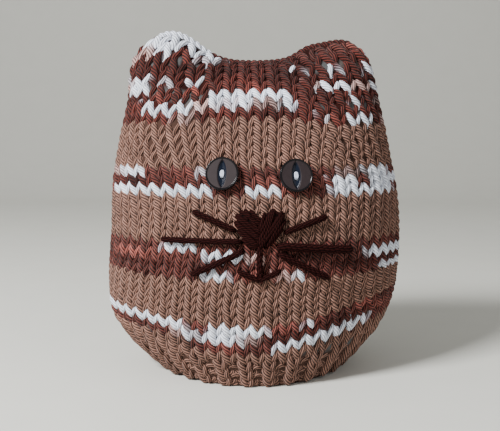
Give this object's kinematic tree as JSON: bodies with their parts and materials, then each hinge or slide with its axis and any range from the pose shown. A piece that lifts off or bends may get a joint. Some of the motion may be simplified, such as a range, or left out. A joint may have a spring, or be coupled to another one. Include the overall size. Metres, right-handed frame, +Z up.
{
  "type": "tea cosy",
  "caption": "Hollow knitted tea cosy with a cat's face, two standing ears, a ribbed hem to stand on and a slit in each side for spout and handle.",
  "frame": {"origin": "middle of the whole piece at the height of the hem's lower edge, which stands on the table", "axes": "+Z up from hem to ears, -Y the way the face looks, +X to the handle's slit"},
  "size_m": [0.1637, 0.125, 0.1865],
  "materials": {
    "knitted_cloth": "chunky plied yarn, stocking stitch, self-striping tan, rust, dark brown and white",
    "face_yarn": "plied dark chocolate yarn",
    "button": "polished brown-grey"
  },
  "bodies": {
    "root": {"front_panel": "knitted_cloth", "back_panel": "knitted_cloth", "eye_button_left": "button", "eye_button_right": "button", "nose": "face_yarn", "mouth_stitch_middle": "face_yarn", "mouth_stitch_left": "face_yarn", "mouth_stitch_right": "face_yarn", "whisker_upper_left": "face_yarn", "whisker_middle_left": "face_yarn", "whisker_lower_left": "face_yarn", "whisker_upper_right": "face_yarn", "whisker_middle_right": "face_yarn", "whisker_lower_right": "face_yarn"}
  },
  "joints": []
}
